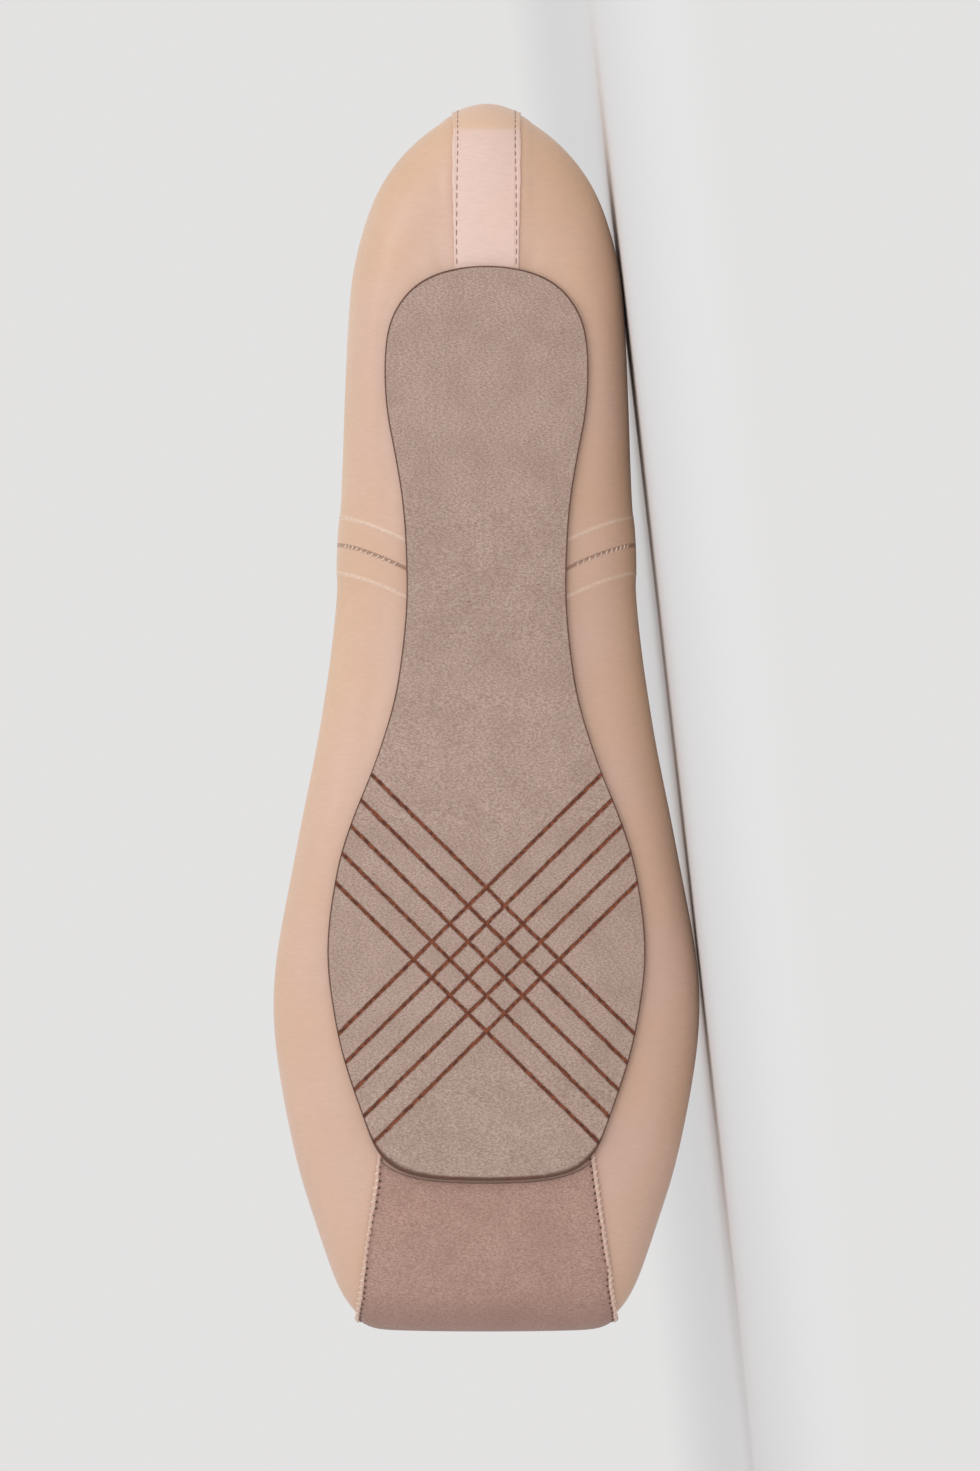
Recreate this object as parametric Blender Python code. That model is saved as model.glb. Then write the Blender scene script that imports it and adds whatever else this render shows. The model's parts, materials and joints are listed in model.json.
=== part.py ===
# A pointe shoe, lying on its side as a shoe rolls over when it is set down empty.
#
# The shoe is worked out upright first: x runs from the back of the heel to the toe, y to its left side,
# and z up from the plane that the flats of the outsole share. An empty then lays it on its side.
# The last is straight, so the shoe fits either foot and every piece is even about y = 0.
#
# The shape of the last is a fan of sections. Each section leaves the centre line at its foot, runs out
# flat under the shoe, turns up at the feather line, stands widest at its belly and leans in to the rim.
# Every piece of cloth or suede is cut from that one surface, so all of them follow a change of size.

import math

import bmesh
import bpy
from mathutils import Matrix, Vector

# Driving sizes, in metres
shoe_length = 0.245
ball_width = 0.0858
heel_width = 0.0568
platform_width = 0.0512
heel_height = 0.0520
waist_height = 0.0400
throat_height = 0.0495
platform_height = 0.0330
vamp_length = 0.0775
throat_radius = 0.0180
collar_width = 0.0510
outsole_waist_width = 0.0318
outsole_ball_width = 0.0636
outsole_heel_width = 0.0408
outsole_thickness = 0.0020
arch_rise = 0.0024
toe_spring = 0.0062
margin_width = 0.0080
quarter_wall = 0.0016
box_wall = 0.0030
insole_thickness = 0.0015
strip_width = 0.0130
satin_thickness = 0.0007
suede_thickness = 0.0008
binding_thickness = 0.0007
binding_depth = 0.0070
binding_inner_depth = 0.0050
tip_reach = 0.0195
seam_band_width = 0.0112
seam_step = 0.0005
seam_edge = 0.0008
clearance = 0.0003
edge_round = 0.0006

# How finely the faceted solids are cut
column_spacing = 0.0080
heel_spacing = 0.0052
corner_spacing = 0.0040
under_steps = 5
over_steps = 8
fine_steps = 36
bend_weight = 0.020

ball_half = ball_width / 2
heel_half = heel_width / 2
platform_half = platform_width / 2
collar_half = collar_width / 2
upper_floor = outsole_thickness + clearance
throat_centre = shoe_length - vamp_length - throat_radius
throat_share = throat_centre / shoe_length

# One row for each section of half the shoe, from the back of the heel to the middle of the toe.
# out: where its widest point lies along the shoe, and foot and top foot: where its sole half and its
# upper half leave the centre line, as shares of the length. half: how far out the widest point is.
# belly: the height of that point. rim at: how far out the rim is, as a share of the way from the top foot;
# in front of the throat it is worked out from the throat's radius. rim: the height of the rim. brow: the
# height that the roof heads for at the outline. shoulder: how far in the wall has turned into the roof.
# full and under: how square the wall and the turn under the shoe are, 2 being an ellipse. wall: thickness.
section_columns = (
    "name", "out", "half", "foot", "top_foot", "belly", "rim_at", "rim", "brow",
    "shoulder", "full", "under", "wall",
)  # fmt: skip
heel, waist, throat, tip = heel_height, waist_height, throat_height, platform_height
section_rows = (
    ("heel back", 0.000, 0.000 * heel_half, 0.224, 0.224, 0.42 * heel, 0.945, 1.00 * heel, 1.00 * heel, 1.00 * heel_half, 2.2, 2.0, quarter_wall),
    ("heel round", 0.023, 0.423 * heel_half, 0.224, 0.224, 0.41 * heel, 0.940, 0.99 * heel, 0.99 * heel, 1.00 * heel_half, 2.2, 2.0, quarter_wall),
    ("heel turn", 0.078, 0.796 * heel_half, 0.224, 0.224, 0.38 * heel, 0.928, 0.96 * heel, 0.96 * heel, 1.00 * heel_half, 2.2, 2.0, quarter_wall),
    ("heel cheek", 0.155, 0.961 * heel_half, 0.228, 0.224, 0.34 * heel, 0.905, 0.92 * heel, 0.92 * heel, 1.00 * heel_half, 2.3, 2.0, quarter_wall),
    ("heel side", 0.245, 1.000 * heel_half, 0.256, 0.245, 0.42 * waist, 0.970 * collar_half / heel_half, 1.13 * waist, 1.13 * waist, 1.00 * heel_half, 2.4, 2.0, quarter_wall),
    ("quarter", 0.327, 1.025 * heel_half, 0.352, 0.322, 0.41 * waist, 0.990 * collar_half / heel_half / 1.025, 1.04 * waist, 1.04 * waist, 1.00 * heel_half, 2.4, 2.0, quarter_wall),
    ("waist", 0.396, 0.695 * ball_half, 0.424, 0.388, 0.41 * waist, 1.000 * collar_half / ball_half / 0.695, 1.00 * waist, 1.00 * waist, 0.70 * ball_half, 2.4, 2.0, quarter_wall),
    ("instep", 0.498, 0.767 * ball_half, 0.518, 0.482, 0.40 * waist, 0.960 * collar_half / ball_half / 0.767, 1.02 * waist, 1.02 * waist, 0.77 * ball_half, 2.4, 2.0, 1.1 * quarter_wall),
    ("joint", 0.612, 0.893 * ball_half, 0.604, 0.575, 0.31 * throat, 0.800 * collar_half / ball_half / 0.893, 0.89 * throat, 0.89 * throat, 0.88 * ball_half, 2.4, 2.0, 0.65 * box_wall),
    ("ball", 0.735, 1.000 * ball_half, 0.620, throat_share, 0.30 * throat, None, 0.955 * throat, 0.94 * throat, 0.85 * ball_half, 2.4, 2.0, 0.85 * box_wall),
    ("wing", 0.845, 0.914 * ball_half, 0.560, throat_share, 0.31 * throat, None, 0.975 * throat, 0.86 * throat, 0.62 * ball_half, 2.3, 2.1, 1.0 * box_wall),
    ("box side", 0.931, 0.768 * ball_half, 0.420, throat_share, 0.52 * tip, None, 0.985 * throat, 1.12 * tip, 0.42 * ball_half, 2.3, 2.3, 1.0 * box_wall),
    ("corner side", 0.975, 1.120 * platform_half, 0.300, throat_share, 0.56 * tip, None, 0.990 * throat, 1.04 * tip, 0.30 * ball_half, 2.4, 2.6, 1.0 * box_wall),
    ("corner", 0.9905, 1.000 * platform_half, 0.220, throat_share, 0.59 * tip, None, 0.995 * throat, 1.01 * tip, 0.25 * ball_half, 2.5, 2.8, 1.0 * box_wall),
    ("platform", 0.9982, 0.890 * platform_half, 0.215, throat_share, 0.61 * tip, None, 0.998 * throat, 1.00 * tip, 0.22 * ball_half, 2.6, 3.0, 1.0 * box_wall),
    ("toe", 1.000, 0.000 * platform_half, 0.210, throat_share, 0.61 * tip, None, 1.000 * throat, 1.00 * tip, 0.21 * ball_half, 2.6, 3.0, 1.0 * box_wall),
)  # fmt: skip

# The outline of the outsole, from the middle of its heel end to the middle of its toe end: a share of the
# shoe's length, and a share of the width there that it follows.
outsole_outline = (
    (0.1327, 0.000 * outsole_heel_width),
    (0.1355, 0.170 * outsole_heel_width),
    (0.1480, 0.348 * outsole_heel_width),
    (0.1690, 0.450 * outsole_heel_width),
    (0.1900, 0.492 * outsole_heel_width),
    (0.2200, 0.500 * outsole_heel_width),
    (0.2470, 0.492 * outsole_heel_width),
    (0.2860, 0.449 * outsole_heel_width),
    (0.3390, 0.516 * outsole_waist_width),
    (0.3950, 0.500 * outsole_waist_width),
    (0.4700, 0.553 * outsole_waist_width),
    (0.5390, 0.350 * outsole_ball_width),
    (0.5800, 0.415 * outsole_ball_width),
    (0.6200, 0.465 * outsole_ball_width),
    (0.6920, 0.500 * outsole_ball_width),
    (0.7550, 0.470 * outsole_ball_width),
    (0.8350, 0.374 * outsole_ball_width),
    (0.8580, 0.338 * outsole_ball_width),
    (0.8700, 0.275 * outsole_ball_width),
    (0.8760, 0.170 * outsole_ball_width),
    (0.8775, 0.000 * outsole_ball_width),
)

# Where the flats of the sole and the rise of its arch and toe begin and end, as shares of the length
heel_flat_end = 0.32
ball_flat_start = 0.60
ball_flat_end = 0.765
seam_at = 0.363


def smooth_curve(places, values, mirror):
    """A smooth curve through values at places that turns only where they do. mirror is 1 where it is even about
    both ends, and -1 where it is odd."""
    steps = [b - a for a, b in zip(places, places[1:])]
    slopes = [(b - a) / h for a, b, h in zip(values, values[1:], steps)]
    tangents = [0.0 if mirror > 0 else slopes[0]]
    for i in range(1, len(steps)):
        before, after = 2 * steps[i] + steps[i - 1], steps[i] + 2 * steps[i - 1]
        if slopes[i - 1] * slopes[i] <= 0:
            tangents.append(0.0)
        else:
            tangents.append((before + after) / (before / slopes[i - 1] + after / slopes[i]))
    tangents.append(0.0 if mirror > 0 else slopes[-1])

    def value(place):
        i = 0
        while i < len(steps) - 1 and place > places[i + 1]:
            i += 1
        h = steps[i]
        t = (place - places[i]) / h
        start, end = values[i], values[i + 1]
        leave, arrive = tangents[i] * h, tangents[i + 1] * h
        square, cube = t * t, t * t * t
        return (
            start * (2 * cube - 3 * square + 1)
            + leave * (cube - 2 * square + t)
            + end * (3 * square - 2 * cube)
            + arrive * (cube - square)
        )

    return value


def chord_places(points):
    """How far each point lies along the chain of straight lines through them."""
    places = [0.0]
    for a, b in zip(points, points[1:]):
        places.append(places[-1] + math.dist(a, b))
    return places


def sole_lift(x):
    """How far the sole's underside stands off the plane of its flats: the arch, and the spring of the toe."""
    arch = (x / shoe_length - heel_flat_end) / (ball_flat_start - heel_flat_end)
    spring = (x / shoe_length - ball_flat_end) / (1 - ball_flat_end)
    if 0 < arch < 1:
        return arch_rise * math.sin(math.pi * arch) ** 2
    return toe_spring * spring**2 if spring > 0 else 0.0


# The outline of the outsole as a fine chain of points of one half
outsole_points = [(share * shoe_length, half) for share, half in outsole_outline]
outsole_places = chord_places(outsole_points)
outsole_x = smooth_curve(outsole_places, [x for x, _ in outsole_points], 1)
outsole_y = smooth_curve(outsole_places, [y for _, y in outsole_points], -1)
outsole_girth = outsole_places[-1]
outsole_chain = [
    (outsole_x(outsole_girth * i / 240), outsole_y(outsole_girth * i / 240))
    for i in range(241)
]


def share_to_outsole(foot, out, half):
    """How much of the way from a section's foot to its widest point the edge of the outsole takes."""
    dx, dy = out - foot, half
    found = 0.0
    for (ax, ay), (bx, by) in zip(outsole_chain, outsole_chain[1:]):
        ex, ey = bx - ax, by - ay
        cross = dx * ey - dy * ex
        if abs(cross) < 1e-12:
            continue
        along = ((ax - foot) * ey - ay * ex) / cross
        beside = ((ax - foot) * dy - ay * dx) / cross
        if -1e-6 <= beside <= 1 + 1e-6 and along > found:
            found = along
    return found


# Each column of the table as a smooth curve along the outline of the widest points
sections = [dict(zip(section_columns, row)) for row in section_rows]
for row in sections:
    if row["rim_at"] is None:
        reach = math.hypot((row["out"] - row["top_foot"]) * shoe_length, row["half"])
        row["rim_at"] = throat_radius / reach
outline_places = chord_places([(r["out"] * shoe_length, r["half"]) for r in sections])
half_girth = outline_places[-1]
section_curves = {
    name: smooth_curve(
        outline_places, [r[name] for r in sections], -1 if name == "half" else 1
    )
    for name in section_columns[1:]
}
known_sections = {}


def section_at(place):
    """The section that stands at a place of the outline, between 0 at the heel and half_girth at the toe."""
    key = round(place, 7)
    if key not in known_sections:
        made = {name: curve(place) for name, curve in section_curves.items()}
        for name in ("out", "foot", "top_foot"):
            made[name] *= shoe_length
        reach = math.hypot(made["out"] - made["foot"], made["half"])
        edge = share_to_outsole(made["foot"], made["out"], made["half"])
        made["feather"] = edge + edge_round / reach
        made["opening"] = edge - margin_width / reach
        made["over"] = over_chain(made)
        known_sections[key] = made
    return known_sections[key]


def rounded(turn, full):
    """A point of a squared quarter circle: out and up, each from 0 to 1, at a turn from 0 to a right angle."""
    size = (math.cos(turn) ** full + math.sin(turn) ** full) ** (1 / full)
    return math.cos(turn) / size, math.sin(turn) / size


def over_point(section, inward):
    """The point of the wall or roof that lies a distance in from the outline, seen from above."""
    reach = math.hypot(section["out"] - section["top_foot"], section["half"])
    rim_inward = reach * (1 - section["rim_at"])

    def rise(distance):
        left = max(0.0, 1 - distance / section["shoulder"])
        return (1 - left ** section["full"]) ** (1 / section["full"])

    slope = min(1.0, max(0.0, 1 - inward / rim_inward)) ** 1.9
    height = section["rim"] + (section["brow"] - section["rim"]) * slope
    share = 1 - inward / reach
    return Vector(
        (
            section["top_foot"] + (section["out"] - section["top_foot"]) * share,
            section["half"] * share,
            section["belly"]
            + (height - section["belly"]) * rise(inward) / rise(rim_inward),
        )
    )


def over_chain(section):
    """The fine points of a section from its belly to its rim, and how far along each is. A bend counts as length."""
    reach = math.hypot(section["out"] - section["top_foot"], section["half"])
    rim_inward = reach * (1 - section["rim_at"])
    shoulder = section["shoulder"]
    last_turn = math.pi / 2
    if rim_inward < shoulder:
        left = 1 - rim_inward / shoulder
        up = (1 - left ** section["full"]) ** (1 / section["full"])
        last_turn = math.atan2(up, left)
    inwards = []
    for i in range(fine_steps + 1):
        out, _ = rounded(last_turn * i / fine_steps, section["full"])
        inwards.append(shoulder * (1 - out))
    if rim_inward > shoulder:
        inwards += [
            shoulder + (rim_inward - shoulder) * i / fine_steps
            for i in range(1, fine_steps + 1)
        ]
    inwards[-1] = rim_inward
    points = [over_point(section, inward) for inward in inwards]
    ways = [0.0]
    for i in range(1, len(points)):
        step = points[i] - points[i - 1]
        before = points[i - 1] - points[i - 2] if i > 1 else step
        ways.append(ways[-1] + step.length + bend_weight * step.angle(before, 0.0))
    return points, ways


def along_chain(chain, share):
    """The point at a share of the weighted way along a chain."""
    points, ways = chain
    wanted = share * ways[-1]
    i = 1
    while i < len(ways) - 1 and ways[i] < wanted:
        i += 1
    part = (wanted - ways[i - 1]) / (ways[i] - ways[i - 1])
    return points[i - 1].lerp(points[i], part)


def last_point(place, level):
    """A point of the last's surface. Level runs from -2 at the opening under the sole, -1 at the feather line and
    0 at the belly to 1 at the rim. Place runs right round the shoe, from the heel by the left side."""
    place = place % (2 * half_girth)
    side = 1 if place <= half_girth else -1
    section = section_at(place if side > 0 else 2 * half_girth - place)
    if level > 0:
        point = along_chain(section["over"], level).copy()
    else:
        if level < -1:
            share = section["opening"]
            share += (section["feather"] - share) * (level + 2)
            rise = 0.0
        else:
            out, down = rounded(-level * math.pi / 2, section["under"])
            share = section["feather"] + (1 - section["feather"]) * out
            rise = 1 - down
        x = section["foot"] + (section["out"] - section["foot"]) * share
        floor = upper_floor + sole_lift(x)
        point = Vector(
            (x, section["half"] * share, floor + (section["belly"] - floor) * rise)
        )
    point.y *= side
    return point


def last_normal(place, level):
    """The direction that faces away from the foot at a point of the last's surface."""
    near = 0.0004
    low, high = max(-2.0, level - 0.02), min(1.0, level + 0.02)
    along = last_point(place + near, level) - last_point(place - near, level)
    up = last_point(place, high) - last_point(place, low)
    normal = along.cross(up).normalized()
    section = section_at(min(place % (2 * half_girth), -place % (2 * half_girth)))
    inside = Vector((section["foot"], 0.0, section["belly"]))
    return normal if normal.dot(last_point(place, level) - inside) > 0 else -normal


def skin(place, level, lift):
    """A point that stands a distance off the last's surface."""
    return last_point(place, level) + last_normal(place, level) * lift


def wall_skin(place, level, lift):
    """A point off the wall as it is cut: straight between the rows of the upper, so that pieces lie evenly on it.
    lift is a function of the place and the level."""
    rows = upper_levels()
    i = 0
    while i < len(rows) - 2 and level > rows[i + 1]:
        i += 1
    part = (level - rows[i]) / (rows[i + 1] - rows[i])
    low = skin(place, rows[i], lift(place, rows[i]))
    return low.lerp(skin(place, rows[i + 1], lift(place, rows[i + 1])), part)


def upper_levels():
    """The levels of the rows of the upper."""
    levels = [-2.0, -1.5]
    levels += [-1 + i / under_steps for i in range(under_steps)]
    return levels + [i / over_steps for i in range(over_steps + 1)]


def smooth_step(value):
    value = min(1.0, max(0.0, value))
    return value * value * (3 - 2 * value)


def wall_at(place, level):
    """The thickness of the upper: even where it is tucked under, and the section's own from the belly up."""
    section = section_at(min(place % (2 * half_girth), -place % (2 * half_girth)))
    return quarter_wall + (section["wall"] - quarter_wall) * smooth_step(level + 1)


def outer_gap(place, level):
    return clearance + seam_lift(place, level)


def outer_tape(place, level):
    return outer_gap(place, level) + binding_thickness


def outer_suede(place, level):
    return outer_gap(place, level) + suede_thickness


def inner_gap(place, level):
    return -wall_at(place, level) - clearance


def inner_tape(place, level):
    return inner_gap(place, level) - binding_thickness


def place_of(share):
    """The place on the outline whose widest point lies at a share of the shoe's length."""
    low, high = 0.0, half_girth
    for _ in range(40):
        middle = (low + high) / 2
        if section_curves["out"](middle) < share:
            low = middle
        else:
            high = middle
    return (low + high) / 2


def level_below_rim(place, depth):
    """The level that lies a distance below the rim, measured down the wall."""
    level, walked = 1.0, 0.0
    point = last_point(place, level)
    while walked < depth:
        level -= 0.01
        below = last_point(place, level)
        walked += (point - below).length
        point = below
    return level


def level_above_belly(place, distance):
    """The level that lies a distance above the belly, measured up the wall."""
    level, walked = 0.0, 0.0
    point = last_point(place, level)
    while walked < distance:
        level += 0.01
        above = last_point(place, level)
        walked += (point - above).length
        point = above
    return level


def place_beside(width, level):
    """The place near the heel where the surface lies a distance from the centre line, at a level."""
    low, high = 0.0, place_of(0.2)
    for _ in range(36):
        middle = (low + high) / 2
        if last_point(middle, level).y < abs(width):
            low = middle
        else:
            high = middle
    return math.copysign((low + high) / 2, width)


seam_place = place_of(seam_at)
tip_place = outline_places[-3]


def seam_lift(place, level):
    """How far the folded side seam raises the wall. It lies flat where the upper is tucked under the outsole."""
    half = abs(min(place % (2 * half_girth), -place % (2 * half_girth)) - seam_place)
    band = smooth_step((seam_band_width / 2 + seam_edge - half) / seam_edge)
    return seam_step * band * smooth_step(2.5 * (level + 1))


def half_places():
    """Where the columns of the upper stand on one half: close round the toe's corner, at the seam and at the heel."""
    heel_end, corner_start = place_of(0.16), outline_places[-5]
    marks = {0.0, heel_end, corner_start, tip_place, outline_places[-2], half_girth}
    for side in (-1, 1):
        edge = seam_place + side * seam_band_width / 2
        marks |= {edge, edge + side * seam_edge}
    marks = sorted(marks)
    places = [0.0]
    for start, end in zip(marks, marks[1:]):
        spacing = column_spacing
        if end <= heel_end:
            spacing = heel_spacing
        elif start >= corner_start:
            spacing = corner_spacing if end < half_girth else 1.4 * corner_spacing
        count = max(1, round((end - start) / spacing))
        places += [start + (end - start) * (i + 1) / count for i in range(count)]
    return places


def all_places():
    """The columns right round the shoe."""
    half = half_places()
    return half + [2 * half_girth - place for place in half[-2:0:-1]]


def material(name, colour, roughness, sheen=0.0):
    made = bpy.data.materials.new(name)
    made.use_nodes = True
    shader = made.node_tree.nodes["Principled BSDF"]
    shader.inputs["Base Color"].default_value = (*colour, 1.0)
    shader.inputs["Roughness"].default_value = roughness
    shader.inputs["Metallic"].default_value = 0.0
    shader.inputs["Sheen Weight"].default_value = sheen
    return made


def closed_solid(name, points, faces, finish):
    """One named object from points and faces that close, with its faces turned outwards."""
    mesh = bpy.data.meshes.new(name)
    body = bmesh.new()
    vertices = [body.verts.new(point) for point in points]
    for face in faces:
        body.faces.new([vertices[i] for i in face])
    bmesh.ops.recalc_face_normals(body, faces=body.faces)
    body.to_mesh(mesh)
    body.free()
    mesh.materials.append(finish)
    mesh.shade_smooth()
    mesh.set_sharp_from_angle(angle=math.radians(40))
    made = bpy.data.objects.new(name, mesh)
    bpy.context.scene.collection.objects.link(made)
    return made


def solid_between(name, outside, inside, ring, finish):
    """A wall between two grids of points. The rows of a ring close on themselves, and other rows get side walls."""
    rows, columns = len(outside), len(outside[0])
    points = [point for grid in (outside, inside) for row in grid for point in row]
    layer = rows * columns

    def corner(row, column, side):
        return side * layer + row * columns + column % columns

    faces = []
    for row in range(rows - 1):
        for column in range(columns if ring else columns - 1):
            for side in (0, 1):
                near = corner(row, column, side), corner(row, column + 1, side)
                far = corner(row + 1, column, side), corner(row + 1, column + 1, side)
                if column < (columns // 2 if ring else (columns - 1) // 2):
                    faces += [(*near, far[0]), (near[1], far[1], far[0])]
                else:
                    faces += [(*near, far[1]), (near[0], far[1], far[0])]
    for row in (0, rows - 1):
        for column in range(columns if ring else columns - 1):
            faces.append(
                (
                    corner(row, column, 0),
                    corner(row, column + 1, 0),
                    corner(row, column + 1, 1),
                    corner(row, column, 1),
                )
            )
    if not ring:
        for column in (0, columns - 1):
            for row in range(rows - 1):
                faces.append(
                    (
                        corner(row, column, 0),
                        corner(row + 1, column, 0),
                        corner(row + 1, column, 1),
                        corner(row, column, 1),
                    )
                )
    return closed_solid(name, points, faces, finish)


def make_upper(finish):
    """The satin upper with its stiffened box: one hollow wall, open at the collar and under the foot."""
    levels, places = upper_levels(), all_places()
    outside = [[skin(p, v, seam_lift(p, v)) for p in places] for v in levels]
    inside = [[skin(p, v, -wall_at(p, v)) for p in places] for v in levels]
    return solid_between("upper", outside, inside, True, finish)


def make_binding(finish):
    """The satin tape folded over the rim of the collar, which cases the drawstring."""
    inner, outer = [], []
    for place in all_places():
        wall = wall_at(place, 1.0)
        top, normal = last_point(place, 1.0), last_normal(place, 1.0)
        up = (top - last_point(place, 0.97)).normalized()
        near, far = [], []
        for depth in (binding_depth, 0.4 * binding_depth):
            level = level_below_rim(place, depth)
            near.append(wall_skin(place, level, outer_gap))
            far.append(wall_skin(place, level, outer_tape))
        outside, inside = outer_gap(place, 1.0), -inner_gap(place, 1.0)
        for across, swell, height in ((outside, 0.8, 0.4), (-wall / 2, 0.0, 1.0), (-inside, -0.8, 0.4)):
            near.append(top + normal * across + up * clearance)
            over = up * (clearance + binding_thickness * height)
            far.append(top + normal * (across + swell * binding_thickness) + over)
        for depth in (0.4 * binding_inner_depth, binding_inner_depth):
            level = level_below_rim(place, depth)
            near.append(wall_skin(place, level, inner_gap))
            far.append(wall_skin(place, level, inner_tape))
        inner.append(near)
        outer.append(far)
    return solid_between(
        "collar_binding", list(zip(*outer)), list(zip(*inner)), True, finish
    )


def make_heel_strip(finish):
    """The satin strip up the back of the heel, from the outsole to the binding."""
    rows, across = 16, 4
    off = clearance + heel_spacing**2 / (8 * heel_half)
    low, high = [], []
    for i in range(rows + 1):
        near, far = [], []
        for j in range(across + 1):
            width = strip_width * (j / across - 0.5)
            top = level_below_rim(width, binding_depth + 2 * clearance)
            level = -1 + (top + 1) * i / rows
            place = place_beside(width, level)
            near.append(skin(place, level, off))
            far.append(skin(place, level, off + satin_thickness))
        low.append(near)
        high.append(far)
    return solid_between("heel_strip", high, low, False, finish)


def make_toe_patch(finish):
    """The suede patch that covers the platform and the underside of the box."""
    half = half_places()
    side = [place for place in half if place >= tip_place - 1e-9]
    places = side + [2 * half_girth - place for place in side[-2::-1]]
    tops = [level_above_belly(place, tip_reach) for place in places]
    levels = [-1 + i / under_steps for i in range(under_steps)]
    levels += [i / over_steps for i in range(over_steps) if i / over_steps < min(tops)]
    low, high = [], []
    for level in levels + [None]:
        near, far = [], []
        for place, top in zip(places, tops):
            at = top if level is None else level
            near.append(wall_skin(place, at, outer_gap))
            far.append(wall_skin(place, at, outer_suede))
        low.append(near)
        high.append(far)
    return solid_between("toe_patch", high, low, False, finish)


def sole_ring(inset, rise, count):
    """Points round the outsole's outline, drawn in by an inset and raised off the sole's underside."""
    ring = []
    near = outsole_girth * 1e-4
    for i in range(count + 1):
        place = outsole_girth * i / count
        x, y = outsole_x(place), outsole_y(place)
        dx = outsole_x(min(outsole_girth, place + near)) - outsole_x(max(0, place - near))
        dy = outsole_y(min(outsole_girth, place + near)) - outsole_y(max(0, place - near))
        size = math.hypot(dx, dy)
        x += inset * dy / size
        y -= inset * dx / size
        if i in (0, count):
            y = 0.0
        ring.append(Vector((x, y, rise + sole_lift(x))))
    return ring + [Vector((p.x, -p.y, p.z)) for p in ring[-2:0:-1]]


def make_sole_layer(name, rings, finish):
    """A layer of the sole: rings of points from its underside to its top, closed across with strips."""
    count = 44
    points, faces = [], []
    for inset, rise in rings:
        points += sole_ring(inset, rise, count)
    size = 2 * count
    for layer in range(len(rings) - 1):
        for i in range(size):
            j = (i + 1) % size
            faces.append(
                (
                    layer * size + i,
                    layer * size + j,
                    (layer + 1) * size + j,
                    (layer + 1) * size + i,
                )
            )
    for layer in (0, len(rings) - 1):
        base = layer * size
        faces.append((base, base + 1, base + size - 1))
        faces.append((base + count, base + count - 1, base + count + 1))
        for i in range(1, count - 1):
            faces.append(
                (base + i, base + i + 1, base + size - i - 1, base + size - i)
            )
    return closed_solid(name, points, faces, finish)


def make_outsole(finish):
    """The suede outsole, with its lower edge rounded off."""
    rings = (
        (edge_round, 0.0),
        (0.2 * edge_round, 0.4 * edge_round),
        (0.0, edge_round),
        (0.0, outsole_thickness),
    )
    return make_sole_layer("outsole", rings, finish)


def make_insole(finish):
    """The insole, inside the upper and over the margin that is tucked under."""
    base = upper_floor + quarter_wall + clearance
    inset = 2 * edge_round
    rings = (
        (inset, base),
        (inset, base + 0.6 * insole_thickness),
        (inset + 0.4 * insole_thickness, base + insole_thickness),
    )
    return make_sole_layer("insole", rings, finish)


def centre_of_mass(objects):
    """The centre of the volumes of several closed solids."""
    volume, moment = 0.0, Vector()
    for made in objects:
        made.data.calc_loop_triangles()
        for triangle in made.data.loop_triangles:
            a, b, c = (made.data.vertices[i].co for i in triangle.vertices)
            piece = a.dot(b.cross(c)) / 6
            volume += piece
            moment += piece * (a + b + c) / 4
    return moment / volume


def lying_matrix(objects):
    """The turn and move that lay the upright shoe down on its right side, where it comes to rest on a floor."""
    points = [vertex.co.copy() for made in objects for vertex in made.data.vertices]
    centre = centre_of_mass(objects)
    hull = bmesh.new()
    for point in points:
        hull.verts.new(point)
    made = bmesh.ops.convex_hull(hull, input=hull.verts)
    best, best_height = None, None
    for face in {f for f in made["geom"] if isinstance(f, bmesh.types.BMFace)}:
        normal = face.normal
        if normal.y > -0.7:
            continue
        height = (face.verts[0].co - centre).dot(normal)
        foot = centre + normal * height
        corners = [vertex.co for vertex in face.verts]
        turns = [
            (b - a).cross(foot - a).dot(normal)
            for a, b in zip(corners, corners[1:] + corners[:1])
        ]
        if min(turns) < 0:
            continue
        if best is None or height < best_height:
            best, best_height = normal.copy(), height
    hull.free()
    down = best
    toe = Vector((1, 0, 0))
    toe = (toe - down * toe.dot(down)).normalized()
    across = down.cross(toe)
    turn = Matrix((-toe, -across, -down)).to_4x4()
    if turn.to_3x3().determinant() < 0:
        turn = Matrix((-toe, across, -down)).to_4x4()
    turned = [turn @ point for point in points]
    low = [min(point[i] for point in turned) for i in range(3)]
    high = [max(point[i] for point in turned) for i in range(3)]
    middle = Vector(((low[0] + high[0]) / 2, (low[1] + high[1]) / 2, low[2]))
    return Matrix.Translation(-middle) @ turn


def main():
    for old in list(bpy.data.objects):
        bpy.data.objects.remove(old)
    satin = material("satin", (0.72, 0.47, 0.35), 0.42, 0.3)
    tape = material("satin_tape", (0.78, 0.54, 0.45), 0.45, 0.3)
    suede = material("suede", (0.40, 0.27, 0.22), 0.92)
    patch_suede = material("patch_suede", (0.44, 0.27, 0.22), 0.90)
    lining = material("insole_cloth", (0.78, 0.70, 0.60), 0.85)
    pieces = [
        make_upper(satin),
        make_outsole(suede),
        make_toe_patch(patch_suede),
        make_heel_strip(tape),
        make_binding(tape),
        make_insole(lining),
    ]
    lying = bpy.data.objects.new("lying_shoe", None)
    bpy.context.scene.collection.objects.link(lying)
    lying.matrix_world = lying_matrix(pieces)
    for piece in pieces:
        piece.parent = lying


main()
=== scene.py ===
import json
import math

import bmesh
import bpy
from mathutils import Matrix, Vector
from mathutils.bvhtree import BVHTree


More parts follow.
